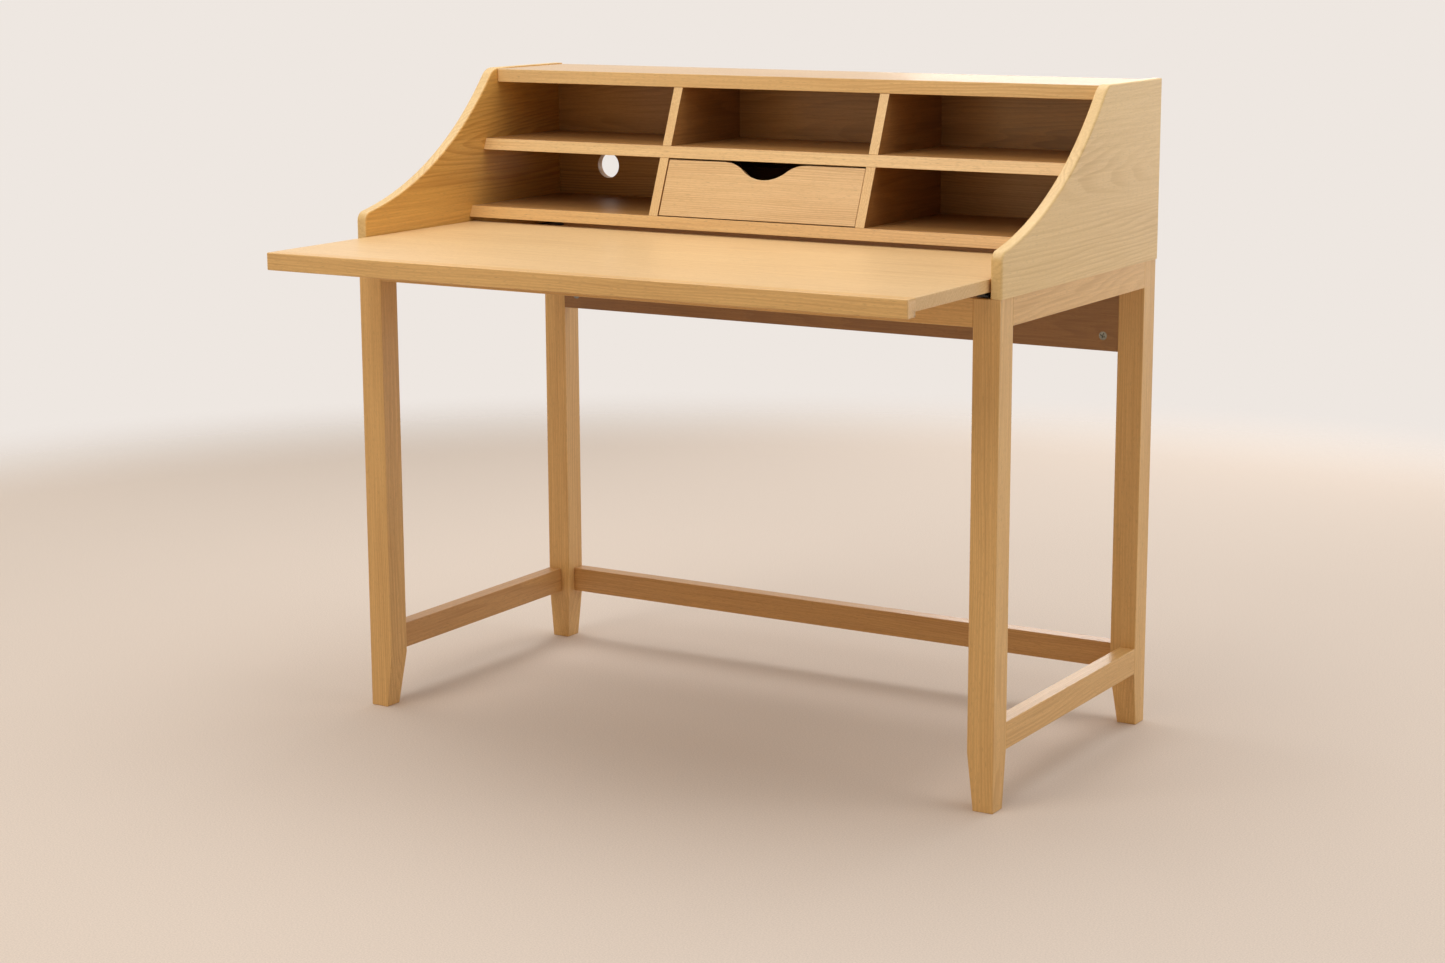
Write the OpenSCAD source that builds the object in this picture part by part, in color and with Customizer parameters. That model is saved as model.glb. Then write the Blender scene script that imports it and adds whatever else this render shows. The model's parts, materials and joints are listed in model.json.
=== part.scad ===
// Small writing desk with a pigeonhole hutch between two curved side panels.
// The desktop board draws out on two low slides, and a shallow drawer fills
// the middle lower pigeonhole. Stored with the desktop drawn out.
//
// Frame: X to the right, Y to the back, Z up, millimetres. The origin is on
// the floor, in the middle of the desk's outline with the desktop drawn out.

/* [Overall size] */
// Width over the side panels
desk_w = 1100; // [900:10:1400]
// Depth of the standing carcass, side panel front to back
carcass_d = 540; // [480:10:660]
// Height of the legs, up to the side panels
leg_h = 723; // [600:1:900]

/* [Legs and rails] */
// Width and depth of a leg
leg_w = 41; // [36:1:60]
// Width and depth of a foot, after the taper
foot_w = 31; // [26:1:34]
// How far the legs stand in from the side panels' outer faces
leg_inset = 2; // [0:0.5:4]
// Thickness of the rails and stretchers
rail_t = 25; // [20:1:30]
// Height of the upper rails and of the lower stretchers
rail_h = 40; // [30:1:60]
// Height of the stretchers' lower edge, where the legs' taper starts
stretcher_z = 84; // [60:1:160]
// Height of the deep back apron
apron_h = 140; // [90:1:200]
// Thickness of the back apron
apron_t = 18; // [15:1:22]

/* [Hutch] */
// Thickness of the side panels
side_t = 18; // [16:1:24]
// Thickness of the mid and bottom shelves
shelf_t = 18; // [15:1:22]
// Thickness of the four dividers
divider_t = 16; // [12:1:22]
// Thickness of the top panel
top_t = 21; // [18:1:28]
// Thickness of the back panel
back_t = 13; // [10:1:18]
// Clear height of the lower pigeonholes
lower_h = 88; // [75:1:140]
// Clear height of the upper pigeonholes
upper_h = 89; // [70:1:140]
// How far the side panels stand above the top panel
side_lip = 2; // [0:0.5:8]
// Distance from the desk's middle to the middle of a divider
divider_x = 183; // [140:1:230]
// Distance from the side panels' front to the top panel's front
top_setback = 353; // [330:1:390]
// How far the shelf fronts lean back for each unit of height
front_lean = 0.4; // [0.2:0.02:0.5]

/* [Side panel curve] */
// Radius of the long hollow curve
sweep_r = 565; // [500:5:700]
// Centre of that curve, in front of the side panel
sweep_out = 103; // [80:1:120]
// Centre of that curve, above the side panel's top
sweep_up = 349; // [330:1:380]
// Rounding where the curve meets the top edge
crown_r = 30; // [10:1:40]
// Rounding where the curve meets the front edge
nose_r = 15; // [6:1:22]

/* [Cable hole] */
// Radius of the hole through the back panel
cable_r = 21; // [12:1:30]
// Distance of its centre from the left side panel's inner face
cable_in = 99; // [40:1:160]
// Height of its centre above the bottom shelf
cable_up = 50; // [34:1:56]

/* [Desktop] */
// Thickness of the desktop board
board_t = 18; // [15:1:24]
// Gap behind the desktop when it is pushed in
board_back_clear = 7; // [2:1:20]
// Depth of the front lip, front to back
lip_d = 22; // [15:1:30]
// How far the desktop draws out
draw_out = 236; // [150:2:240]
// Gap between the leg tops and the board, which holds the slides
slide_gap = 9; // [8:1:14]
// Gap between the board and the bottom shelf
shelf_gap = 7; // [3:1:15]
// Gap between the lip and what it passes over
lip_clear = 1; // [0.5:0.5:3]
// Gap at each end of the board
board_clear = 2; // [0.5:0.5:4]

/* [Drawer] */
// Thickness of the drawer front, square to its face
front_t = 16; // [12:1:20]
// Thickness of the drawer's sides and back
wall_t = 10; // [8:1:14]
// Thickness of the drawer's bottom
bottom_t = 4; // [3:1:6]
// Width of the finger scoop
scoop_w = 140; // [110:5:200]
// Depth of the finger scoop, down the front's face
scoop_h = 26; // [18:1:30]
// Gap over the drawer front
front_top_gap = 2.5; // [1:0.5:5]
// Gap under and beside the drawer front
front_gap = 1.2; // [0.5:0.1:3]
// How far the drawer opens
drawer_travel = 160; // [60:5:180]

/* [Hidden] */
$fn = 96;

// Clearances
running = 0.3;
peg_clear = 0.05;
groove_clear = 0.1;

// Fasteners: wood dowels, cams with their bolts, and countersunk screws
dowel_r = 4;
dowel_l = 30;
divider_dowel_in = 7;
panel_dowel_in = 12;
small_dowel_r = 3;
small_dowel_l = 24;
cam_r = 6.5;
cam_l = 12.5;
cam_in = 24.5;
cam_edge = 23;
cam_slot_w = 1.6;
cam_slot_d = 2;
bolt_r = 3;
bolt_hole_r = 3.3;
bolt_in_leg = 12;
screw_r = 1.8;
screw_head_r = 3.6;
screw_head_h = 1.8;
channel_screw_l = 18;
bar_screw_l = 16;
back_screw_l = 32;

// Slides: a lipped channel on the frame and a T bar under the board
channel_w = 22;
channel_t = 1.2;
channel_lip = 4.6;
bar_play = 0.7;
bar_side_play = 1;
bar_t = 2.4;
bar_neck_play = 1;

// Drawer joints
drawer_wall_h = 62;
drawer_floor_up = 5;
groove_in = 4;
housing_in = 3;
drawer_back_gap = 12;
drawer_end_in = 12;

// Front to back, on the floor plan
front_y = -(carcass_d - draw_out) / 2;
back_y = front_y + carcass_d;
panel_back_y = back_y - back_t;
leg_front_in_y = front_y + leg_w;
leg_back_in_y = back_y - leg_w;
apron_y = leg_back_in_y;
lip_y = front_y - draw_out;
board_back_y = panel_back_y - board_back_clear - draw_out;
channel_y0 = front_y + lip_d + 2;
channel_y1 = leg_back_in_y + leg_w / 2;
bar_y0 = front_y + 4;
bar_len = channel_y1 - draw_out - 19 - bar_y0;

// Side to side
half_w = desk_w / 2;
panel_in_x = half_w - side_t;
panel_mid_x = half_w - side_t / 2;
leg_out_x = half_w - leg_inset;
leg_in_x = leg_out_x - leg_w;
rail_mid_x = leg_out_x - rail_t / 2;
board_half = panel_in_x - board_clear;
channel_x = board_half - channel_w / 2 - 0.5;
channel_in_x = channel_x - channel_w / 2 - 0.5;
drawer_half = divider_x - divider_t / 2 - front_gap;
cable_x = cable_in - panel_in_x;

// Heights
rail_z = leg_h - rail_h;
apron_z = leg_h - apron_h;
apron_top_z = leg_h + slide_gap - 4;
board_z = leg_h + slide_gap;
desktop_z = board_z + board_t;
bottom_shelf_z = desktop_z + shelf_gap;
lower_z = bottom_shelf_z + shelf_t;
mid_shelf_z = lower_z + lower_h;
upper_z = mid_shelf_z + shelf_t;
top_z = upper_z + upper_h;
panel_top_z = top_z + top_t + side_lip;
cable_z = lower_z + cable_up;

// Plane of the shelf and divider fronts: y at a height, leaning back upward
function front_at(z) = front_y + top_setback - (top_z - z) * front_lean;
lean = atan(front_lean);

// Centres of the side panel's two roundings, each touching the hollow curve
sweep_y = front_y - sweep_out;
sweep_z = panel_top_z + sweep_up;
crown_z = panel_top_z - crown_r;
crown_y = sweep_y + sqrt(pow(sweep_r + crown_r, 2) - pow(sweep_z - crown_z, 2));
nose_y = front_y + nose_r;
nose_z = sweep_z - sqrt(pow(sweep_r + nose_r, 2) - pow(nose_y - sweep_y, 2));

// Point at radius r from centre c on the way to point p
function towards(c, p, r) = c + (p - c) * r / norm(p - c);

// The value at a share of the way from a to b
function between(a, b, share) = a + (b - a) * share;

// The same places on both sides of the desk
function both_sides(places) = [for (p = places) for (s = [-1, 1]) [s * p[0], p[1], p[2], p[3]]];

rail_dowel_zs = [rail_z + rail_h / 4, rail_z + rail_h * 3 / 4];
stretcher_dowel_zs = [stretcher_z + rail_h / 4, stretcher_z + rail_h * 3 / 4];
front_rail_dowels = both_sides([for (z = rail_dowel_zs) [leg_in_x, front_y + rail_t / 2, z, "x"]]);
back_stretcher_dowels = both_sides([for (z = stretcher_dowel_zs) [leg_in_x, back_y - rail_t / 2, z, "x"]]);
side_dowels = both_sides([
    for (z = concat(rail_dowel_zs, stretcher_dowel_zs))
        for (y = [leg_front_in_y, leg_back_in_y])
            [rail_mid_x, y, z, "y"]
]);
seat_dowels = both_sides([
    for (y = [front_y + leg_w / 2 - 1, (front_y + back_y) / 2, back_y - leg_w / 2 + 1])
        [panel_mid_x, y, leg_h, "z"]
]);
shelf_zs = [top_z + top_t / 2, mid_shelf_z + shelf_t / 2, bottom_shelf_z + shelf_t / 2];
shelf_dowels = both_sides([
    for (z = shelf_zs)
        for (share = [0.27, 0.79])
            [panel_in_x + panel_dowel_in - dowel_l / 2, between(front_at(z), panel_back_y, share), z, "x"]
]);
// Divider dowels: the heights are those of the dowels' middles
function divider_dowels(z0, z1) = both_sides([
    for (z = [z0 - divider_dowel_in + dowel_l / 2, z1 + divider_dowel_in - dowel_l / 2])
        for (share = [0.18, 0.83])
            [divider_x, between(front_at(z1), panel_back_y, share), z, "z"]
]);
upper_dowels = divider_dowels(upper_z, top_z);
lower_dowels = divider_dowels(lower_z, mid_shelf_z);
cam_zs = [apron_z + cam_edge, leg_h - cam_edge];
lip_dowel_xs = [for (i = [-2:2]) i * board_half * 0.42];
bar_screw_ys = [for (i = [0:2]) bar_y0 + 30 + i * (bar_len - 60) / 2];
channel_screw_ys = [channel_y0 + 9, channel_y1 - 10];
back_screw_xs = [-0.85, -0.5, -0.17, 0.17, 0.5, 0.85] * panel_in_x;

// Rods along x, y or z, centred on each place
module pegs(places, r, l) {
    for (p = places)
        translate([p[0], p[1], p[2]])
            rotate(p[3] == "x" ? [0, 90, 0] : p[3] == "y" ? [90, 0, 0] : [0, 0, 0])
                cylinder(r = r, h = l, center = true);
}

// Cuts the holes for some dowels out of a piece
module doweled(places) {
    difference() {
        children();
        pegs(places, dowel_r + peg_clear, dowel_l + 2 * peg_clear);
    }
}

// A flat shape in the Y-Z plane, made solid from x0 to x1
module along_x(x0, x1) {
    translate([x0, 0, 0])
        rotate([90, 0, 90])
            linear_extrude(height = x1 - x0) children();
}

// A flat shape in the X-Z plane, made solid from y0 to y1
module along_y(y0, y1) {
    translate([0, y1, 0])
        rotate([90, 0, 0])
            linear_extrude(height = y1 - y0) children();
}

// Box between two corners
module block(low, high) {
    translate(low) cube(high - low);
}

// Countersunk screw with its head at the origin, pointing down -Z
module screw(l, grow = 0) {
    rotate_extrude()
        polygon([
            [0, grow],
            [screw_head_r + grow, grow],
            [screw_head_r + grow, 0],
            [screw_r + grow, -screw_head_h],
            [screw_r + grow, -l - grow],
            [0, -l - grow]
        ]);
}

// --- Frame -----------------------------------------------------------------

// Leg profile on its two inner faces: straight, then tapered to the foot
module leg_outline() {
    polygon([
        [0, leg_h],
        [leg_w, leg_h],
        [leg_w, stretcher_z],
        [foot_w, 0],
        [0, 0]
    ]);
}

// Right leg with its outer corner at x = leg_out_x; dir_y is +1 in front, -1 behind
module leg(corner_y, dir_y) {
    intersection() {
        translate([leg_out_x, corner_y - 1, 0])
            mirror([1, 0, 0])
                along_y(-leg_w, leg_w + 2) leg_outline();
        translate([0, corner_y, 0])
            mirror([0, dir_y < 0 ? 1 : 0, 0])
                along_x(leg_in_x - 1, leg_out_x + 1) leg_outline();
    }
}

module wood(tone = [0.82, 0.64, 0.42]) {
    color(tone) children();
}

module leg_front(side) {
    wood() difference() {
        mirror([side < 0 ? 1 : 0, 0, 0]) leg(front_y, 1);
        pegs(
            concat(front_rail_dowels, side_dowels, seat_dowels),
            dowel_r + peg_clear,
            dowel_l + 2 * peg_clear
        );
        channel_screws_at(grow = peg_clear);
    }
}

module leg_back(side) {
    wood() difference() {
        mirror([side < 0 ? 1 : 0, 0, 0]) leg(back_y, -1);
        pegs(
            concat(back_stretcher_dowels, side_dowels, seat_dowels),
            dowel_r + peg_clear,
            dowel_l + 2 * peg_clear
        );
        cam_bolts_at(bolt_r + peg_clear, bolt_in_leg + peg_clear);
        channel_screws_at(grow = peg_clear);
    }
}

module leg_front_left() { leg_front(-1); }
module leg_front_right() { leg_front(1); }
module leg_back_left() { leg_back(-1); }
module leg_back_right() { leg_back(1); }

// Side rail or stretcher on the right or left, with its lower edge at z
module side_bar(side, z) {
    wood() doweled(concat(side_dowels, seat_dowels))
        mirror([side < 0 ? 1 : 0, 0, 0])
            block([leg_out_x - rail_t, leg_front_in_y, z], [leg_out_x, leg_back_in_y, z + rail_h]);
}

module side_rail_left() { side_bar(-1, rail_z); }
module side_rail_right() { side_bar(1, rail_z); }
module side_stretcher_left() { side_bar(-1, stretcher_z); }
module side_stretcher_right() { side_bar(1, stretcher_z); }

module front_rail() {
    wood() doweled(front_rail_dowels)
        block([-leg_in_x, front_y, rail_z], [leg_in_x, front_y + rail_t, leg_h]);
}

module back_stretcher() {
    wood() doweled(back_stretcher_dowels)
        block([-leg_in_x, back_y - rail_t, stretcher_z], [leg_in_x, back_y, stretcher_z + rail_h]);
}

// Deep apron behind the knees, its cams let into the front face and its top just under the board
module back_apron() {
    wood() difference() {
        union() {
            block([-leg_in_x, apron_y, apron_z], [leg_in_x, apron_y + apron_t, leg_h]);
            block([-channel_in_x, apron_y, leg_h], [channel_in_x, apron_y + apron_t, apron_top_z]);
        }
        cams_at(cam_r + peg_clear, cam_l + peg_clear);
        cam_bolts_at(bolt_hole_r, bolt_in_leg);
    }
}

// --- Cams and their bolts --------------------------------------------------

module cams_at(r, l) {
    for (s = [-1, 1])
        for (z = cam_zs)
            translate([s * (leg_in_x - cam_in), apron_y, z])
                rotate([-90, 0, 0]) cylinder(r = r, h = l);
}

module cam_bolts_at(r, into_leg) {
    for (s = [-1, 1])
        for (z = cam_zs)
            translate([s * (leg_in_x - cam_in + 1), apron_y + cam_l / 2, z])
                rotate([0, s * 90, 0]) cylinder(r = r, h = cam_in - 1 + into_leg);
}

// Cross recess on each cam's face
module cam_slots() {
    for (s = [-1, 1])
        for (z = cam_zs)
            for (turn = [0, 90])
                translate([s * (leg_in_x - cam_in), apron_y, z])
                    rotate([0, turn + 20, 0])
                        cube([cam_r * 1.3, cam_slot_d * 2, cam_slot_w], center = true);
}

module cam_locks() {
    color([0.62, 0.62, 0.6]) difference() {
        cams_at(cam_r, cam_l);
        cam_slots();
        cam_bolts_at(bolt_hole_r, bolt_in_leg);
    }
}

module cam_bolts() {
    color([0.7, 0.7, 0.68]) cam_bolts_at(bolt_r, bolt_in_leg);
}

// --- Hutch -----------------------------------------------------------------

// Side panel outline: straight front edge, rounded nose, hollow sweep, crown
module side_outline() {
    sweep = [sweep_y, sweep_z];
    crown = [crown_y, crown_z];
    nose = [nose_y, nose_z];
    difference() {
        polygon([
            [front_y, leg_h],
            [back_y, leg_h],
            [back_y, panel_top_z],
            [crown_y, panel_top_z],
            crown,
            towards(crown, sweep, crown_r),
            towards(nose, sweep, nose_r),
            nose,
            [front_y, nose_z]
        ]);
        translate(sweep) circle(r = sweep_r, $fn = 360);
    }
    translate(crown) circle(r = crown_r);
    translate(nose) circle(r = nose_r);
}

module side_panel(side) {
    wood() doweled(concat(seat_dowels, shelf_dowels))
        mirror([side < 0 ? 1 : 0, 0, 0])
            along_x(panel_in_x, half_w) side_outline();
}

module side_panel_left() { side_panel(-1); }
module side_panel_right() { side_panel(1); }

module top_panel() {
    wood() doweled(concat(shelf_dowels, upper_dowels))
        block([-panel_in_x, front_y + top_setback, top_z], [panel_in_x, back_y, top_z + top_t]);
}

// Board or divider outline between two heights, its front on the leaning plane
module leaning_outline(z0, z1, y1) {
    polygon([[front_at(z0), z0], [y1, z0], [y1, z1], [front_at(z1), z1]]);
}

module mid_shelf() {
    wood() difference() {
        along_x(-panel_in_x, panel_in_x) leaning_outline(mid_shelf_z, upper_z, panel_back_y);
        pegs(
            concat(shelf_dowels, upper_dowels, lower_dowels),
            dowel_r + peg_clear,
            dowel_l + 2 * peg_clear
        );
        back_screws_at(grow = peg_clear);
    }
}

module bottom_shelf() {
    wood() difference() {
        along_x(-panel_in_x, panel_in_x) leaning_outline(bottom_shelf_z, lower_z, panel_back_y);
        pegs(concat(shelf_dowels, lower_dowels), dowel_r + peg_clear, dowel_l + 2 * peg_clear);
        back_screws_at(grow = peg_clear);
    }
}

module divider(x, z0, z1, dowels) {
    wood() doweled(dowels)
        along_x(x - divider_t / 2, x + divider_t / 2) leaning_outline(z0, z1, panel_back_y);
}

module divider_upper_left() { divider(-divider_x, upper_z, top_z, upper_dowels); }
module divider_upper_right() { divider(divider_x, upper_z, top_z, upper_dowels); }
module divider_lower_left() { divider(-divider_x, lower_z, mid_shelf_z, lower_dowels); }
module divider_lower_right() { divider(divider_x, lower_z, mid_shelf_z, lower_dowels); }

// Back panel between the side panels, under the top panel, down to the rails
module back_panel() {
    wood() difference() {
        block([-panel_in_x, panel_back_y, leg_h], [panel_in_x, back_y, top_z]);
        translate([cable_x, panel_back_y - 1, cable_z])
            rotate([-90, 0, 0]) cylinder(r = cable_r, h = back_t + 2);
        back_screws_at(grow = peg_clear);
    }
}

module back_screws_at(grow = 0) {
    for (x = back_screw_xs)
        for (z = [bottom_shelf_z + shelf_t / 2, mid_shelf_z + shelf_t / 2])
            translate([x, back_y, z])
                rotate([-90, 0, 0]) screw(back_screw_l, grow);
}

module back_screws() {
    color([0.55, 0.52, 0.42]) back_screws_at();
}

module dowels() {
    color([0.86, 0.74, 0.55])
        pegs(
            concat(
                front_rail_dowels,
                back_stretcher_dowels,
                side_dowels,
                seat_dowels,
                shelf_dowels,
                upper_dowels,
                lower_dowels
            ),
            dowel_r,
            dowel_l
        );
}

// --- Desktop slides --------------------------------------------------------

bar_z0 = leg_h + channel_t + bar_play;
channel_h = channel_t + bar_play + bar_t + bar_play + channel_t;

// Lipped channel that lies on the rail and on both leg tops
module channel_outline() {
    difference() {
        translate([-channel_w / 2, 0]) square([channel_w, channel_h]);
        translate([-channel_w / 2 + channel_t, channel_t])
            square([channel_w - 2 * channel_t, channel_h - 2 * channel_t]);
        translate([-channel_w / 2 + channel_t + channel_lip, channel_h - channel_t - 1])
            square([channel_w - 2 * (channel_t + channel_lip), channel_t + 2]);
    }
}

// Short T bar that runs in the channel, its neck fixed under the back of the board
module bar_outline() {
    flat_w = channel_w - 2 * (channel_t + bar_side_play);
    neck_w = channel_w - 2 * (channel_t + channel_lip + bar_neck_play);
    translate([-flat_w / 2, 0]) square([flat_w, bar_t]);
    translate([-neck_w / 2, 0]) square([neck_w, board_z - bar_z0]);
}

module slide_channel(side) {
    color([0.12, 0.12, 0.12]) difference() {
        translate([side * channel_x, 0, leg_h]) along_y(channel_y0, channel_y1) channel_outline();
        channel_screws_at(grow = peg_clear);
    }
}

module slide_bar(side) {
    color([0.2, 0.2, 0.2]) difference() {
        translate([side * channel_x, 0, bar_z0]) along_y(bar_y0, bar_y0 + bar_len) bar_outline();
        bar_screws_at(grow = peg_clear);
    }
}

module slide_channel_left() { slide_channel(-1); }
module slide_channel_right() { slide_channel(1); }
module slide_bar_left() { slide_bar(-1); }
module slide_bar_right() { slide_bar(1); }

module channel_screws_at(grow = 0) {
    for (s = [-1, 1])
        for (y = channel_screw_ys)
            translate([s * channel_x, y, leg_h + channel_t]) screw(channel_screw_l, grow);
}

module bar_screws_at(grow = 0) {
    for (s = [-1, 1])
        for (y = bar_screw_ys)
            translate([s * channel_x, y, bar_z0]) rotate([180, 0, 0]) screw(bar_screw_l, grow);
}

module channel_screws() {
    color([0.55, 0.55, 0.55]) channel_screws_at();
}

module bar_screws() {
    color([0.55, 0.55, 0.55]) bar_screws_at();
}

// --- Desktop ---------------------------------------------------------------

module lip_dowels_at(grow = 0) {
    for (x = lip_dowel_xs)
        translate([x, lip_y + lip_d, board_z + board_t / 2])
            rotate([90, 0, 0])
                cylinder(r = small_dowel_r + grow, h = small_dowel_l + 2 * grow, center = true);
}

module desktop_board() {
    wood([0.85, 0.68, 0.46]) difference() {
        block([-board_half, lip_y + lip_d, board_z], [board_half, board_back_y, desktop_z]);
        lip_dowels_at(peg_clear);
        bar_screws_at(grow = peg_clear);
    }
}

module desktop_lip() {
    wood([0.85, 0.68, 0.46]) difference() {
        block([-board_half, lip_y, leg_h + lip_clear], [board_half, lip_y + lip_d, desktop_z]);
        lip_dowels_at(peg_clear);
    }
}

module lip_dowels() {
    color([0.86, 0.74, 0.55]) lip_dowels_at();
}

// --- Drawer ----------------------------------------------------------------

// Y of the drawer front's face at a height, set back a little from the dividers
function drawer_face(z) = front_at(z) + 1.5;
front_y_t = front_t / cos(lean);
drawer_front_top = mid_shelf_z - front_top_gap;
drawer_base = lower_z + running;
drawer_end_y = panel_back_y - drawer_end_in;
drawer_floor_z = drawer_base + drawer_floor_up;

// Hollow with round shoulders, cut from the drawer front's top edge
module scoop_outline() {
    reach = scoop_w / 2;
    radii = (reach * reach + scoop_h * scoop_h) / (2 * scoop_h);
    bowl_r = radii * 0.56;
    shoulder_r = radii - bowl_r;
    bowl = [0, bowl_r - scoop_h];
    shoulder = [reach, -shoulder_r];
    tangent = towards(shoulder, bowl, shoulder_r);
    difference() {
        union() {
            polygon([
                [-reach, 20],
                [-reach, 0],
                [-tangent[0], tangent[1]],
                tangent,
                [reach, 0],
                [reach, 20]
            ]);
            translate(bowl) circle(r = bowl_r);
        }
        for (s = [-1, 1])
            translate([s * reach, -shoulder_r]) circle(r = shoulder_r);
    }
}

module drawer_front() {
    top_y = drawer_face(drawer_front_top);
    wood([0.8, 0.6, 0.38]) difference() {
        along_x(-drawer_half, drawer_half)
            polygon([
                [drawer_face(lower_z + front_gap), lower_z + front_gap],
                [drawer_face(lower_z + front_gap) + front_y_t, lower_z + front_gap],
                [top_y + front_y_t, drawer_front_top],
                [top_y, drawer_front_top]
            ]);
        translate([0, top_y, drawer_front_top])
            rotate([-lean, 0, 0])
                along_y(-30, 50) scoop_outline();
        drawer_dowels_at(peg_clear);
    }
}

module drawer_side(side) {
    wood([0.8, 0.6, 0.38]) difference() {
        mirror([side < 0 ? 1 : 0, 0, 0])
            along_x(drawer_half - wall_t, drawer_half)
                polygon([
                    [drawer_face(drawer_base) + front_y_t, drawer_base],
                    [drawer_end_y, drawer_base],
                    [drawer_end_y, drawer_base + drawer_wall_h],
                    [drawer_face(drawer_base + drawer_wall_h) + front_y_t, drawer_base + drawer_wall_h]
                ]);
        drawer_floor_at(groove_clear);
        drawer_back_at(groove_clear);
        drawer_dowels_at(peg_clear);
    }
}

// Floor that slides into a groove in each side; its front edge meets the front
module drawer_floor_at(grow = 0) {
    reach = drawer_half - wall_t + groove_in + grow;
    y1 = drawer_end_y - drawer_back_gap;
    z0 = drawer_floor_z - grow;
    z1 = drawer_floor_z + bottom_t + grow;
    along_x(-reach, reach)
        polygon([
            [drawer_face(z0) + front_y_t, z0],
            [y1 + grow, z0],
            [y1 + grow, z1],
            [drawer_face(z1) + front_y_t, z1]
        ]);
}

// Back that stands on the floor and is housed in both sides
module drawer_back_at(grow = 0) {
    reach = drawer_half - wall_t + housing_in + grow;
    y1 = drawer_end_y - drawer_back_gap;
    block(
        [-reach, y1 - wall_t - grow, drawer_floor_z + bottom_t],
        [reach, y1 + grow, drawer_base + drawer_wall_h + (grow > 0 ? 1 : 0)]
    );
}

module drawer_side_left() { drawer_side(-1); }
module drawer_side_right() { drawer_side(1); }
module drawer_floor() { wood([0.84, 0.7, 0.5]) drawer_floor_at(); }
module drawer_back() { wood([0.8, 0.6, 0.38]) drawer_back_at(); }

module drawer_dowels_at(grow = 0) {
    for (s = [-1, 1])
        for (z = [drawer_base + 22, drawer_base + 46])
            translate([s * (drawer_half - wall_t / 2), drawer_face(z) + front_y_t, z])
                rotate([90, 0, 0])
                    cylinder(r = small_dowel_r + grow, h = small_dowel_l + 2 * grow, center = true);
}

module drawer_dowels() {
    color([0.86, 0.74, 0.55]) drawer_dowels_at();
}

leg_front_left();
leg_front_right();
leg_back_left();
leg_back_right();
side_rail_left();
side_rail_right();
side_stretcher_left();
side_stretcher_right();
front_rail();
back_apron();
back_stretcher();
side_panel_left();
side_panel_right();
top_panel();
mid_shelf();
bottom_shelf();
divider_upper_left();
divider_upper_right();
divider_lower_left();
divider_lower_right();
back_panel();
back_screws();
dowels();
cam_locks();
cam_bolts();
slide_channel_left();
slide_channel_right();
channel_screws();
slide_bar_left();
slide_bar_right();
bar_screws();
desktop_board();
desktop_lip();
lip_dowels();
drawer_front();
drawer_side_left();
drawer_side_right();
drawer_back();
drawer_floor();
drawer_dowels();
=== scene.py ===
"""Looks for the small writing desk: softened boards, wood grain, lacquer, light and camera."""

import json
import math

import bmesh
import bpy
from mathutils import Matrix, Vector


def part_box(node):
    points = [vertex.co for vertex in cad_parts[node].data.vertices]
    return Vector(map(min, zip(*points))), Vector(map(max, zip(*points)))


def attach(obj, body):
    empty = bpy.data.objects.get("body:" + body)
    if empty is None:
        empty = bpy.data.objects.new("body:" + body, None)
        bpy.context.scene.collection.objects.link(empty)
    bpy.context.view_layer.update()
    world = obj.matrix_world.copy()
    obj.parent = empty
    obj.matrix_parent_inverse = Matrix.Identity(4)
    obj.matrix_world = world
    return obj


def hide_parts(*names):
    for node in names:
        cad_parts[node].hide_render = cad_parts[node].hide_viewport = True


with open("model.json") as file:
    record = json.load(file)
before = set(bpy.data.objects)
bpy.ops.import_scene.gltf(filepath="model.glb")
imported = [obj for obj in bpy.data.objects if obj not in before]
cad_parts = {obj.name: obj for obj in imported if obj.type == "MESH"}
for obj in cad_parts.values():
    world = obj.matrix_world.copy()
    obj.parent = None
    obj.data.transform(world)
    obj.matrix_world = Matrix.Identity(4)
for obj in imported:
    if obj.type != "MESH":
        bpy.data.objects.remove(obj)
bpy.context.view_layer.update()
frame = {"nodes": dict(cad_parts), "record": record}

MM = 0.001
SHARP = math.radians(38)
CREASE = math.radians(30)
HOLE_RUN = 20 * MM
BODY_OF = {node: body for body, nodes in frame["record"]["behaviour"]["bodies"].items() for node in nodes}


# --- Colours -----------------------------------------------------------------

def srgb(red, green, blue):
    """A linear colour from 0 to 255 screen values."""
    def linear(value):
        value /= 255
        return value / 12.92 if value <= 0.04045 else ((value + 0.055) / 1.055) ** 2.4
    return (linear(red), linear(green), linear(blue), 1.0)


# --- Shader helpers ----------------------------------------------------------

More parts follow.
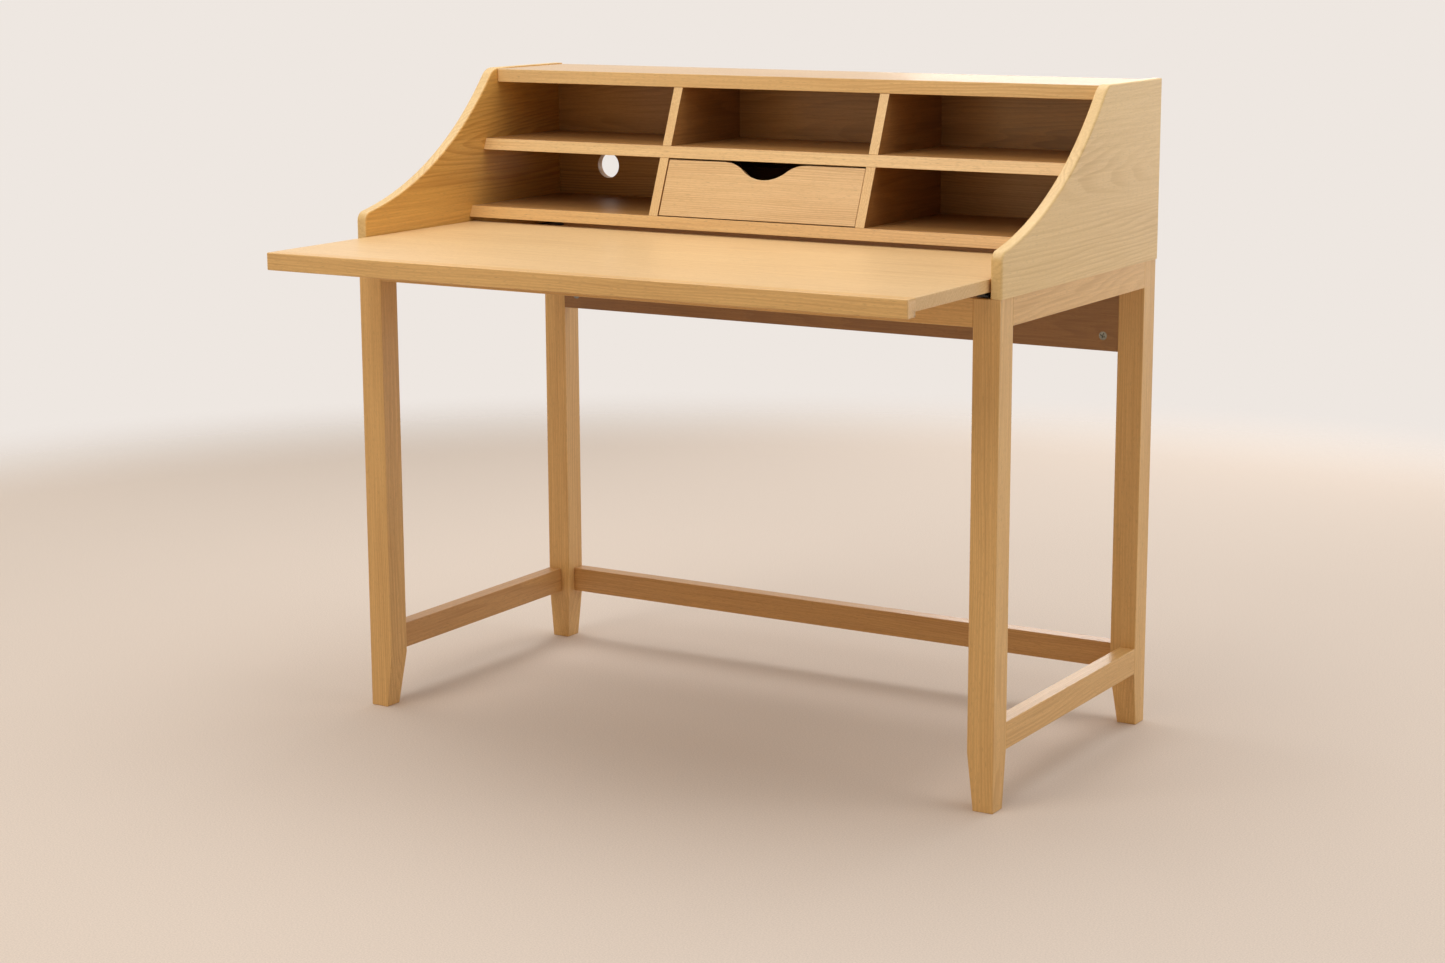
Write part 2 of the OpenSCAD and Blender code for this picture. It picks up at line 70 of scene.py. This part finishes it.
class Graph:
    """A material's node tree with short ways to add to it."""

    def __init__(self, name):
        self.material = bpy.data.materials.new(name)
        self.material.use_nodes = True
        self.tree = self.material.node_tree
        self.tree.nodes.clear()

    def add(self, kind, values, **settings):
        node = self.tree.nodes.new(kind)
        for key, value in settings.items():
            setattr(node, key, value)
        for key, value in values.items():
            if isinstance(value, bpy.types.NodeSocket):
                self.tree.links.new(value, node.inputs[key])
            else:
                node.inputs[key].default_value = value
        return node

    def math(self, operation, first, second=0.0, third=0.0):
        node = self.add("ShaderNodeMath", {0: first, 1: second, 2: third}, operation=operation)
        return node.outputs[0]

    def vector(self, operation, first, second=(0, 0, 0)):
        node = self.add("ShaderNodeVectorMath", {0: first, 1: second}, operation=operation)
        return node.outputs["Value" if operation == "LENGTH" else "Vector"]

    def noise(self, place, detail=2.0, roughness=0.5):
        node = self.add(
            "ShaderNodeTexNoise",
            {"Vector": place, "Scale": 1.0, "Detail": detail, "Roughness": roughness},
        )
        return node.outputs["Fac"], node.outputs["Color"]

    def fade(self, value, low, high, to_low=0.0, to_high=1.0):
        node = self.add(
            "ShaderNodeMapRange",
            {"Value": value, "From Min": low, "From Max": high, "To Min": to_low, "To Max": to_high},
            interpolation_type="SMOOTHSTEP",
        )
        return node.outputs["Result"]

    def mix(self, factor, first, second, blend="MIX"):
        node = self.add("ShaderNodeMix", {}, data_type="RGBA", blend_type=blend)
        for index, value in ((0, factor), (6, first), (7, second)):
            if isinstance(value, bpy.types.NodeSocket):
                self.tree.links.new(value, node.inputs[index])
            else:
                node.inputs[index].default_value = value
        return node.outputs[2]

    def edge_wear(self, patch):
        """A mask of the outer edges, rubbed more in some patches than in others."""
        rounded = self.add("ShaderNodeBevel", {"Radius": 1.2 * MM}, samples=4).outputs["Normal"]
        normal = self.add("ShaderNodeNewGeometry", {}).outputs["Normal"]
        near = self.add("ShaderNodeVectorMath", {0: rounded, 1: normal}, operation="DOT_PRODUCT")
        edge = self.fade(near.outputs["Value"], 0.985, 0.86)
        return self.math("MULTIPLY", edge, self.fade(patch, 0.35, 0.6))

    def surface(self, values):
        shader = self.add("ShaderNodeBsdfPrincipled", values)
        self.add("ShaderNodeOutputMaterial", {"Surface": shader.outputs["BSDF"]})
        return self.material


# --- Wood --------------------------------------------------------------------

AXES = {"x": ("X", "Y", "Z"), "y": ("Y", "Z", "X"), "z": ("Z", "X", "Y")}


def wood(name, tones, along, seed, pith=(0.0, 0.35), tilt=(0.0, 0.0), ring=3.4, figure=0.32, light_and_shade_by_facing=None):
    """Lacquered wood with its grain along an axis, in a light and a dark tone.

    The growth rings are round a pith line, whose place across the grain is pith, in metres.
    A small tilt of that line draws the arched figure of a flat-sawn board.
    The last argument is a direction and the tones of the faces that look that way: lit and shaded copies of the
    wood, painted light and painted shade by which way a face looks.
    """
    graph = Graph(name)
    where = graph.add("ShaderNodeTexCoord", {}).outputs["Object"]
    split = graph.add("ShaderNodeSeparateXYZ", {"Vector": where})
    first, second, third = (split.outputs[axis] for axis in AXES[along])
    grain = graph.add("ShaderNodeCombineXYZ", {"X": first, "Y": second, "Z": third}).outputs["Vector"]
    shifted = graph.vector("ADD", grain, (seed * 0.731, seed * 0.217, seed * 0.453))

    wander = graph.noise(graph.vector("MULTIPLY", shifted, (1.6, 9.0, 9.0)), 2.0)[1]
    wander = graph.vector("SUBTRACT", wander, (0.5, 0.5, 0.5))
    wander = graph.vector("MULTIPLY", wander, (0.0, 0.034, 0.034))
    ripple = graph.noise(graph.vector("MULTIPLY", shifted, (9.0, 60.0, 60.0)), 2.0)[1]
    ripple = graph.vector("SUBTRACT", ripple, (0.5, 0.5, 0.5))
    ripple = graph.vector("MULTIPLY", ripple, (0.0, 0.0024, 0.0024))
    bent = graph.vector("ADD", graph.vector("ADD", grain, wander), ripple)
    turned = graph.add(
        "ShaderNodeMapping",
        {"Vector": bent, "Location": (0, -pith[0], -pith[1]), "Rotation": (0, tilt[0], tilt[1])},
    ).outputs["Vector"]
    radius = graph.vector("LENGTH", graph.vector("MULTIPLY", turned, (0, 1, 1)))
    rings = graph.math("DIVIDE", radius, ring * MM)
    uneven = graph.noise(graph.vector("MULTIPLY", shifted, (0.4, 24.0, 24.0)), 2.0)[0]
    rings = graph.math("MULTIPLY_ADD", uneven, 5.0, rings)
    share = graph.math("FRACT", rings)
    late = graph.math("MULTIPLY", graph.fade(share, 0.25, 0.86), graph.fade(share, 1.0, 0.92))
    strength = graph.noise(graph.vector("MULTIPLY", shifted, (2.2, 16.0, 16.0)), 1.0)[0]
    late = graph.math("MULTIPLY", late, graph.fade(strength, 0.3, 0.7, 0.25, 1.3))

    fibre = graph.noise(graph.vector("MULTIPLY", shifted, (5.0, 330.0, 330.0)), 4.0, 0.6)[0]
    fine = graph.noise(graph.vector("MULTIPLY", shifted, (22.0, 1500.0, 1500.0)), 2.0, 0.6)[0]
    patch = graph.noise(graph.vector("MULTIPLY", shifted, (1.3, 7.0, 7.0)), 2.0)[0]
    vessel = graph.noise(graph.vector("MULTIPLY", shifted, (95.0, 2700.0, 2700.0)), 1.0)[0]
    pores = graph.fade(vessel, 0.60, 0.70)
    pores = graph.math("MULTIPLY", pores, graph.math("SUBTRACT", 1.0, late))

    depth = graph.math("MULTIPLY", late, figure)
    depth = graph.math("MULTIPLY_ADD", graph.math("SUBTRACT", fibre, 0.5), 1.25, depth)
    depth = graph.math("MULTIPLY_ADD", graph.math("SUBTRACT", fine, 0.5), 0.6, depth)
    depth = graph.math("MULTIPLY_ADD", graph.math("SUBTRACT", patch, 0.45), 0.7, depth)
    depth = graph.math("ADD", depth, 0.16)
    depth = graph.math("MINIMUM", graph.math("MAXIMUM", depth, 0.0), 1.0)
    colour = graph.mix(depth, *tones)
    # Faces that look the given way take other tones: painted light and painted shade by which way a face looks.
    if light_and_shade_by_facing:
        normal = graph.add("ShaderNodeNewGeometry", {}).outputs["Normal"]
        toward = graph.add("ShaderNodeVectorMath", {0: normal, 1: light_and_shade_by_facing[0]}, operation="DOT_PRODUCT")
        there = graph.fade(toward.outputs["Value"], 0.5, 0.8)
        colour = graph.mix(there, colour, graph.mix(depth, *light_and_shade_by_facing[1]))
    pore_colour = tuple(channel * 0.42 for channel in tones[1][:3]) + (1.0,)
    colour = graph.mix(graph.math("MULTIPLY", pores, 0.5), colour, pore_colour)
    worn = graph.edge_wear(patch)
    colour = graph.mix(graph.math("MULTIPLY", worn, 0.3), colour, tones[0])

    height = graph.math("MULTIPLY_ADD", pores, -0.8, graph.math("MULTIPLY", fine, 0.5))
    height = graph.math("MULTIPLY_ADD", late, 0.25, height)
    bump = graph.add("ShaderNodeBump", {"Height": height, "Strength": 0.35, "Distance": 0.12 * MM})
    rough = graph.math("MULTIPLY_ADD", fine, 0.16, 0.34)
    rough = graph.math("MULTIPLY_ADD", pores, 0.12, rough)
    rough = graph.math("MULTIPLY_ADD", worn, 0.1, rough)
    return graph.surface({
        "Base Color": colour,
        "Roughness": rough,
        "Normal": bump.outputs["Normal"],
        "Specular IOR Level": 0.42,
        "Coat Weight": 0.12,
        "Coat Roughness": 0.22,
    })


# --- Metals ------------------------------------------------------------------

def metal(name, colour, rough, shine=1.0, brushed=(60.0, 900.0, 900.0)):
    """Plated or coated metal with fine brushing and small cloudy patches."""
    graph = Graph(name)
    where = graph.add("ShaderNodeTexCoord", {}).outputs["Object"]
    lines = graph.noise(graph.vector("MULTIPLY", where, brushed), 3.0, 0.6)[0]
    cloud = graph.noise(graph.vector("MULTIPLY", where, (90.0, 90.0, 90.0)), 3.0)[0]
    worn = tuple(min(1.0, channel * 1.35 + 0.01) for channel in colour[:3]) + (1.0,)
    tint = graph.mix(graph.fade(cloud, 0.35, 0.7), colour, worn)
    bump = graph.add("ShaderNodeBump", {"Height": lines, "Strength": 0.25, "Distance": 0.05 * MM})
    return graph.surface({
        "Base Color": tint,
        "Metallic": shine,
        "Roughness": graph.math("MULTIPLY_ADD", cloud, 0.18, rough),
        "Normal": bump.outputs["Normal"],
    })


# --- Softened copies of the CAD boards ---------------------------------------

def sharp_edges(mesh):
    """The edges with a real corner, without the rims of the small holes."""
    sharp = {edge for edge in mesh.edges if len(edge.link_faces) == 2 and edge.calc_face_angle(0) > SHARP}
    kept = []
    left = set(sharp)
    while left:
        run = [left.pop()]
        for edge in run:
            for vert in edge.verts:
                for other in vert.link_edges:
                    if other in left:
                        left.remove(other)
                        run.append(other)
        places = [vert.co for edge in run for vert in edge.verts]
        low = Vector(map(min, *places))
        high = Vector(map(max, *places))
        if (high - low).length > HOLE_RUN:
            kept += run
    return kept


def soften(node, rounding, material, widest=1.0, steps=3):
    """A copy of a CAD node with rounded corners, which replaces it.

    rounding is in millimetres, or a function that gives it for an edge's middle and direction.
    """
    mesh = bmesh.new()
    mesh.from_mesh(frame["nodes"][node].data)
    bmesh.ops.remove_doubles(mesh, verts=mesh.verts, dist=1e-6)
    bmesh.ops.dissolve_limit(
        mesh, angle_limit=math.radians(0.3), use_dissolve_boundaries=False, verts=mesh.verts, edges=mesh.edges
    )
    weight = mesh.edges.layers.float.new("bevel_weight_edge")
    for edge in mesh.edges:
        edge.smooth = not (len(edge.link_faces) == 2 and edge.calc_face_angle(0) > CREASE)
    for edge in sharp_edges(mesh):
        middle = (edge.verts[0].co + edge.verts[1].co) / 2
        run = (edge.verts[1].co - edge.verts[0].co).normalized()
        wanted = rounding(middle, run) if callable(rounding) else rounding
        edge[weight] = wanted / widest
        edge.smooth = wanted > 0
    for face in mesh.faces:
        face.smooth = True
    data = bpy.data.meshes.new(node + "_skin")
    mesh.to_mesh(data)
    mesh.free()
    data.materials.clear()
    data.materials.append(material)
    piece = bpy.data.objects.new(node + "_skin", data)
    bpy.context.scene.collection.objects.link(piece)
    bevel = piece.modifiers.new("round", "BEVEL")
    bevel.limit_method = "WEIGHT"
    bevel.width = widest * MM
    bevel.segments = steps
    bevel.use_clamp_overlap = False
    even = piece.modifiers.new("even", "WEIGHTED_NORMAL")
    even.weight = 100
    even.keep_sharp = True
    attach(piece, BODY_OF[node])
    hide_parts(node)
    return piece


# --- The desk's own places ---------------------------------------------------

panel_low, panel_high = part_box("side_panel_right")
board_low, board_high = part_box("desktop_board")
lip_low, lip_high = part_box("desktop_lip")


def near(first, second):
    return abs(first - second) < 0.2 * MM


def side_rounding(middle, run):
    """Full rounding along the top, the curve and the nose, and crisp at the bottom and the back."""
    if near(middle.z, panel_low.z) or near(middle.y, panel_high.y):
        return 0.6
    return 3.4


def board_rounding(middle, run):
    """Soft ends and back, and no groove where the lip is glued on."""
    if near(middle.y, board_low.y):
        return 0.0
    return 1.2 if abs(run.y) > 0.9 else 0.8


def lip_rounding(middle, run):
    if near(middle.y, lip_high.y) and middle.z > board_low.z - 2 * MM:
        return 0.0
    return 1.6


# --- Materials ---------------------------------------------------------------

VENEER = (srgb(228, 192, 140), srgb(198, 156, 102))
# Top panel tone set darker than the other veneer: painted shade that offsets the strong light falling on the top.
TOP_PAINTED_SHADE = (srgb(200, 168, 128), srgb(174, 138, 96))
# Darker tone of the back stretcher and the left stretcher: painted shade of the low parts further back.
LOW_PAINTED_SHADE = (srgb(200, 152, 94), srgb(164, 116, 64))
VENEER_PALE = (srgb(228, 194, 134), srgb(201, 163, 105))
SOLID = (srgb(224, 181, 118), srgb(190, 143, 83))
# Lighter tone for the faces that look forward: painted light, the lit copy of boards that carry painted shade
# elsewhere.
LIT_FRONT_TONE = (srgb(232, 196, 140), srgb(202, 160, 104))
# Darker, more orange tone of the hutch's insides, the back panel and the drawer box: in part the wood's own deeper
# tone, in part painted shade of the recesses.
INNER_TONE_AND_SHADE = (srgb(176, 128, 74), srgb(136, 92, 46))
# Deeper tone of the side panels' inner faces, against the paler outer faces: in part the veneer's own tone, in
# part painted shade.
HONEY_TONE_AND_SHADE = (srgb(226, 176, 94), srgb(186, 132, 62))
# Dark tone of the back apron under the desktop: in part the wood's own deeper tone, in part painted shade under
# the top.
UNDER_TONE_AND_SHADE = (srgb(158, 112, 64), srgb(122, 82, 42))
BEECH = (srgb(222, 188, 142), srgb(196, 154, 108))
# Faces that look forward take the lighter tone: painted light on the fronts of the shaded boards.
LIT_FRONT_FACES = {"light_and_shade_by_facing": ((0, -1, 0), LIT_FRONT_TONE)}
PLY = (srgb(224, 194, 150), srgb(196, 160, 112))


# Board tones: the darker tones of the insides, the apron, the low stretchers and the top panel carry painted
# shade, and the forward faces carry painted light.
boards = {
    "leg_front_left": (SOLID, "z", 1.1, 1.2, {"pith": (0.22, 0.15)}),
    "leg_front_right": (SOLID, "z", 2.3, 1.2, {"pith": (-0.18, 0.2)}),
    "leg_back_left": (SOLID, "z", 3.7, 1.2, {"pith": (0.2, -0.16)}),
    "leg_back_right": (SOLID, "z", 4.2, 1.2, {"pith": (-0.2, -0.12)}),
    "side_rail_left": (SOLID, "y", 5.4, 0.8, {"pith": (0.5, 0.2)}),
    "side_rail_right": (SOLID, "y", 6.6, 0.8, {"pith": (0.64, 0.3), "tilt": (0.02, 0.03)}),
    "side_stretcher_left": (LOW_PAINTED_SHADE, "y", 7.9, 1.0, {"pith": (0.0, 0.3)}),
    "side_stretcher_right": (SOLID, "y", 8.3, 1.0, {"pith": (-0.1, 0.25)}),
    "front_rail": (SOLID, "x", 9.5, 0.8, {"pith": (0.1, 0.3)}),
    "back_apron": (UNDER_TONE_AND_SHADE, "x", 10.2, 0.8, {"pith": (0.45, 0.6), "tilt": (0.02, 0.02)}),
    "back_stretcher": (LOW_PAINTED_SHADE, "x", 11.8, 1.0, {"pith": (0.4, 0.05)}),
    "top_panel": (TOP_PAINTED_SHADE, "x", 12.4, 1.0, {"pith": (0.1, 0.93), "tilt": (0.01, 0.0)} | LIT_FRONT_FACES),
    "mid_shelf": (INNER_TONE_AND_SHADE, "x", 13.1, 0.7, {"pith": (0.1, 0.6)} | LIT_FRONT_FACES),
    # The bottom shelf's forward face takes the SOLID tone: painted light, the lit copy of the shelf's shaded tone.
    "bottom_shelf": (INNER_TONE_AND_SHADE, "x", 14.9, 0.7, {"pith": (0.1, 0.5)} | {"light_and_shade_by_facing": ((0, -1, 0), SOLID)}),
    "divider_upper_left": (INNER_TONE_AND_SHADE, "y", 15.5, 0.6, {"pith": (0.92, 0.3)} | LIT_FRONT_FACES),
    "divider_upper_right": (INNER_TONE_AND_SHADE, "y", 16.1, 0.6, {"pith": (0.94, -0.2)} | LIT_FRONT_FACES),
    "divider_lower_left": (INNER_TONE_AND_SHADE, "y", 17.6, 0.6, {"pith": (0.82, 0.3)} | LIT_FRONT_FACES),
    "divider_lower_right": (INNER_TONE_AND_SHADE, "y", 18.2, 0.6, {"pith": (0.8, -0.25)} | LIT_FRONT_FACES),
    "back_panel": (INNER_TONE_AND_SHADE, "x", 19.7, 0.6, {"pith": (0.45, 0.9), "tilt": (0.0, 0.03), "figure": 0.45}),
    "drawer_front": (VENEER, "x", 20.3, 0.9, {"pith": (0.1, 0.72), "tilt": (0.0, 0.02), "figure": 0.55}),
    "drawer_side_left": (INNER_TONE_AND_SHADE, "y", 21.8, 0.6, {}),
    "drawer_side_right": (INNER_TONE_AND_SHADE, "y", 22.5, 0.6, {}),
    "drawer_back": (INNER_TONE_AND_SHADE, "x", 23.4, 0.6, {}),
    "drawer_floor": (PLY, "x", 24.1, 0.3, {"ring": 9.0, "figure": 0.3}),
}
for node, (tones, along, seed, rounding, figure) in boards.items():
    soften(node, rounding, wood(node + "_wood", tones, along, seed, **figure), widest=max(rounding, 0.1))

# Side panels: paler outer faces, and a deeper tone on the faces that look inward, in part the veneer's own tone
# and in part painted shade.
for side, seed, sign in (("left", 31.3, -1), ("right", 32.9, 1)):
    grain = wood(
        f"side_panel_{side}_wood",
        VENEER_PALE,
        "y",
        seed,
        pith=(0.86, sign * 0.49),
        tilt=(0.09 * sign, -0.05),
        ring=6.5,
        figure=0.4,
        light_and_shade_by_facing=((-sign, 0, 0), HONEY_TONE_AND_SHADE),
    )
    soften(f"side_panel_{side}", side_rounding, grain, widest=3.4, steps=5)

desktop_wood = wood("desktop_wood", VENEER, "x", 41.7, pith=(-0.1, 0.55), tilt=(0.012, 0.0), ring=6.0, figure=0.28)
lip_wood = wood("lip_wood", SOLID, "x", 43.2, pith=(-0.6, 0.5))
soften("desktop_board", board_rounding, desktop_wood, widest=1.2)
soften("desktop_lip", lip_rounding, lip_wood, widest=1.6)

zinc = metal("zinc_plate", srgb(112, 112, 108), 0.36)
black = metal("black_coat", srgb(26, 26, 27), 0.45, shine=0.0)
brass = metal("yellow_zinc", srgb(176, 154, 96), 0.34)
beech = wood("beech_wood", BEECH, "z", 51.0, ring=2.0, figure=0.25)
FINISH = {
    "back_screws": brass,
    "channel_screws": zinc,
    "bar_screws": zinc,
    "cam_locks": zinc,
    "cam_bolts": zinc,
    "slide_channel_left": black,
    "slide_channel_right": black,
    "slide_bar_left": black,
    "slide_bar_right": black,
    "dowels": beech,
    "lip_dowels": beech,
    "drawer_dowels": beech,
}
for node, finish in FINISH.items():
    data = frame["nodes"][node].data
    for index in range(len(data.materials)):
        data.materials[index] = finish


# --- Floor, light and camera -------------------------------------------------

FLOOR_COLOUR = srgb(224, 210, 198)
WALL_COLOUR = srgb(238, 231, 225)


def make_floor():
    """Pale disc that fades into the background, far behind the desk."""
    data = bpy.data.meshes.new("floor")
    mesh = bmesh.new()
    bmesh.ops.create_circle(mesh, cap_ends=True, radius=6.0, segments=96)
    mesh.to_mesh(data)
    mesh.free()
    floor = bpy.data.objects.new("floor", data)
    bpy.context.scene.collection.objects.link(floor)
    graph = Graph("floor_carpet")
    where = graph.add("ShaderNodeTexCoord", {}).outputs["Object"]
    speckle = graph.noise(graph.vector("MULTIPLY", where, (420.0, 420.0, 420.0)), 3.0, 0.7)[0]
    darker = tuple(channel * 0.86 for channel in FLOOR_COLOUR[:3]) + (1.0,)
    colour = graph.mix(graph.fade(speckle, 0.3, 0.7), darker, FLOOR_COLOUR)
    cloth = graph.add("ShaderNodeBsdfDiffuse", {"Color": colour})
    clear = graph.add("ShaderNodeBsdfTransparent", {})
    far = graph.fade(graph.vector("LENGTH", where), 2.3, 3.2)
    mixed = graph.add("ShaderNodeMixShader", {0: far, 1: cloth.outputs[0], 2: clear.outputs[0]})
    graph.add("ShaderNodeOutputMaterial", {"Surface": mixed.outputs[0]})
    data.materials.append(graph.material)


def make_light(name, place, target, size, power, colour):
    lamp = bpy.data.lights.new(name, "AREA")
    lamp.shape = "RECTANGLE"
    lamp.size, lamp.size_y = size
    lamp.energy = power
    lamp.color = colour
    light = bpy.data.objects.new(name, lamp)
    bpy.context.scene.collection.objects.link(light)
    light.location = place
    light.visible_camera = False
    light.rotation_euler = (Vector(target) - Vector(place)).to_track_quat("-Z", "Y").to_euler()


def make_world():
    """Pale background to the eye and in reflections, and a weak light to everything else."""
    world = bpy.data.worlds.new("studio")
    bpy.context.scene.world = world
    world.use_nodes = True
    tree = world.node_tree
    tree.nodes.clear()
    path = tree.nodes.new("ShaderNodeLightPath")
    seen = tree.nodes.new("ShaderNodeMath")
    seen.operation = "ADD"
    seen.use_clamp = True
    tree.links.new(path.outputs["Is Camera Ray"], seen.inputs[0])
    glints = tree.nodes.new("ShaderNodeMath")
    glints.operation = "ADD"
    tree.links.new(path.outputs["Is Glossy Ray"], glints.inputs[0])
    tree.links.new(path.outputs["Is Transmission Ray"], glints.inputs[1])
    tree.links.new(glints.outputs[0], seen.inputs[1])
    pale = tree.nodes.new("ShaderNodeBackground")
    pale.inputs["Color"].default_value = WALL_COLOUR
    weak = tree.nodes.new("ShaderNodeBackground")
    weak.inputs["Color"].default_value = srgb(255, 246, 234)
    weak.inputs["Strength"].default_value = 0.16
    mixed = tree.nodes.new("ShaderNodeMixShader")
    tree.links.new(seen.outputs[0], mixed.inputs[0])
    tree.links.new(weak.outputs[0], mixed.inputs[1])
    tree.links.new(pale.outputs[0], mixed.inputs[2])
    output = tree.nodes.new("ShaderNodeOutputWorld")
    tree.links.new(mixed.outputs[0], output.inputs["Surface"])


def make_camera():
    """Camera in front of the desk's right half, a little above the top."""
    data = bpy.data.cameras.new("camera")
    data.sensor_width = 36.0
    data.lens = 68.12
    data.clip_end = 50.0
    camera = bpy.data.objects.new("camera", data)
    bpy.context.scene.collection.objects.link(camera)
    turn = Matrix.Rotation(math.radians(31.31), 4, "Z")
    nod = Matrix.Rotation(math.radians(90 - 11.433), 4, "X")
    roll = Matrix.Rotation(math.radians(-0.247), 4, "Z")
    camera.matrix_world = Matrix.Translation((2.124, -3.464, 1.214)) @ turn @ nod @ roll
    bpy.context.scene.camera = camera


make_floor()
make_light("ceiling", (-0.1, 0.35, 3.2), (0.1, 0.1, 0.7), (4.6, 3.6), 106, (1.0, 0.985, 0.965))
make_light("front_top", (-0.5, -2.6, 3.0), (0.0, -0.1, 0.8), (2.6, 1.4), 36, (1.0, 0.985, 0.955))
make_light("right_window", (3.6, 0.4, 1.2), (0.3, 0.1, 0.5), (2.2, 2.0), 34, (1.0, 0.98, 0.94))
make_light("left_window", (-3.6, 0.6, 1.0), (-0.3, 0.2, 0.3), (2.2, 1.6), 18, (1.0, 0.95, 0.88))
make_light("back_window", (0.0, 3.6, 1.0), (0.0, 0.2, 0.2), (3.0, 1.6), 42, (1.0, 0.98, 0.96))
make_light("front_fill", (-0.8, -4.0, 0.9), (0.0, 0.0, 0.4), (2.6, 1.4), 22, (1.0, 0.70, 0.26))
make_world()
make_camera()
bpy.context.scene.view_settings.view_transform = "Standard"
